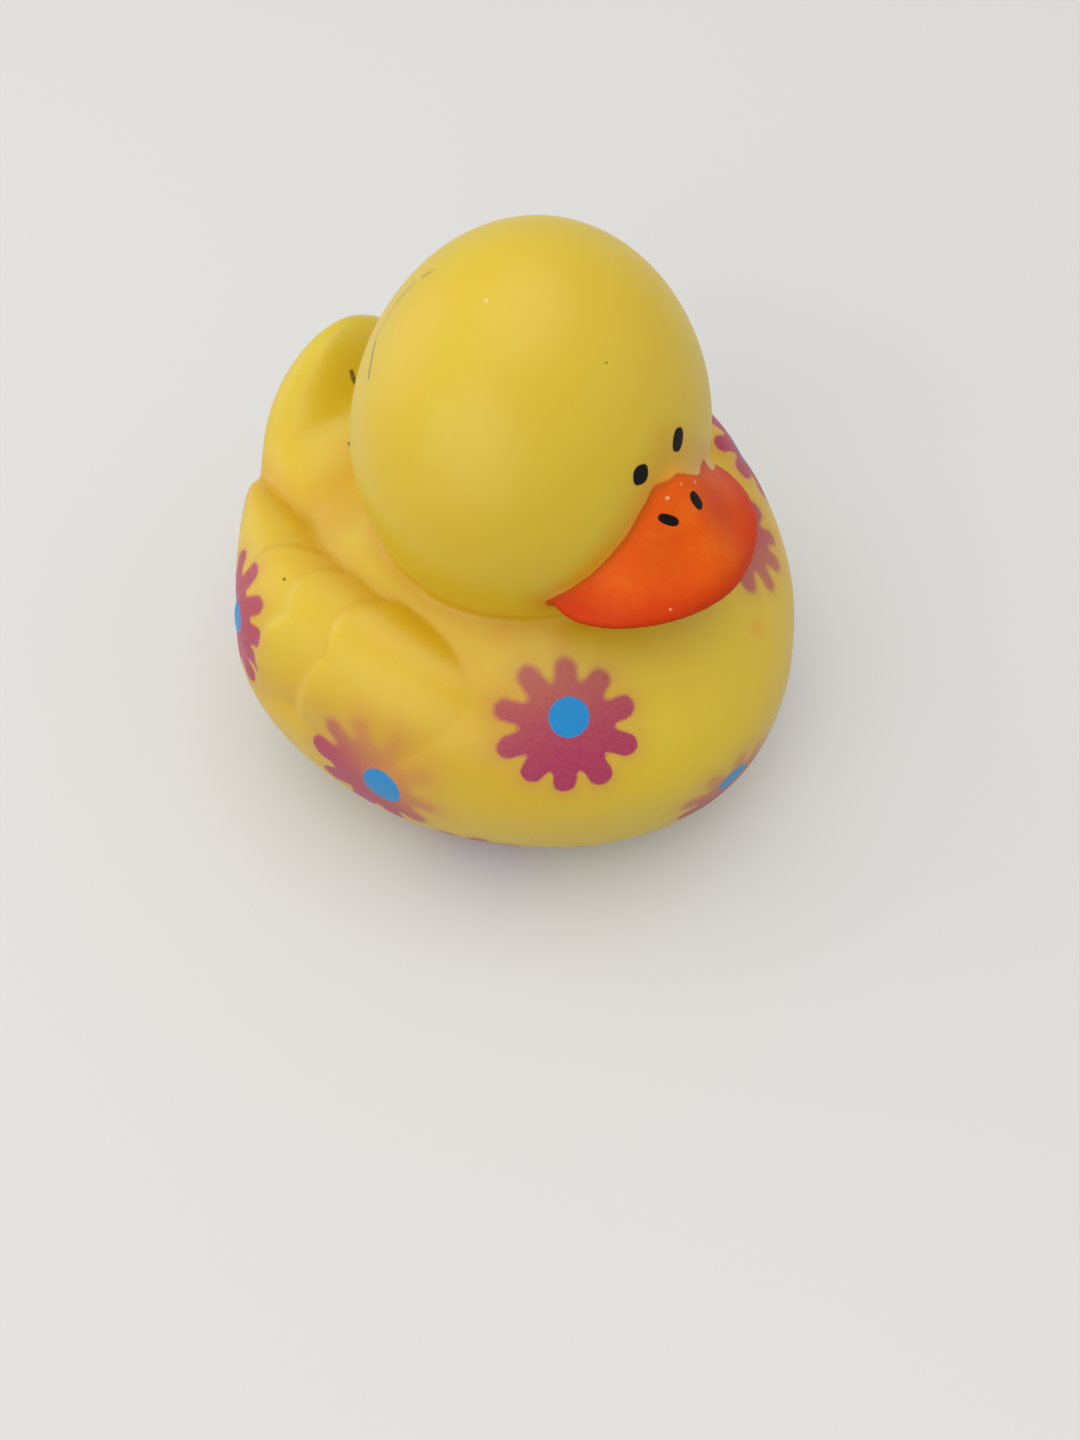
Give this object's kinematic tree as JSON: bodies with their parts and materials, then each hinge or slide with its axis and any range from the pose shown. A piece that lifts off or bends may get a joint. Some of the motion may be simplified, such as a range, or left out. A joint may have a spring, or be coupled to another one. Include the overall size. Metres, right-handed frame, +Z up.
{
  "type": "rubber duck",
  "caption": "Small hollow toy duck of soft yellow vinyl in one moulded piece, with a round head, a broad bill, folded wings, an upturned tail and a flat base.",
  "frame": {"origin": "on the flat base, under the middle of the duck's length and width", "axes": "+Z up, the duck looks along -Y, its left side is +X"},
  "size_m": [0.0468, 0.0494, 0.0483],
  "materials": {
    "vinyl": "satin moulded soft vinyl, yellow, with a painted orange bill, black eyes and nostrils, and pink and blue flowers"
  },
  "bodies": {
    "root": {"duck": "vinyl"}
  },
  "joints": []
}
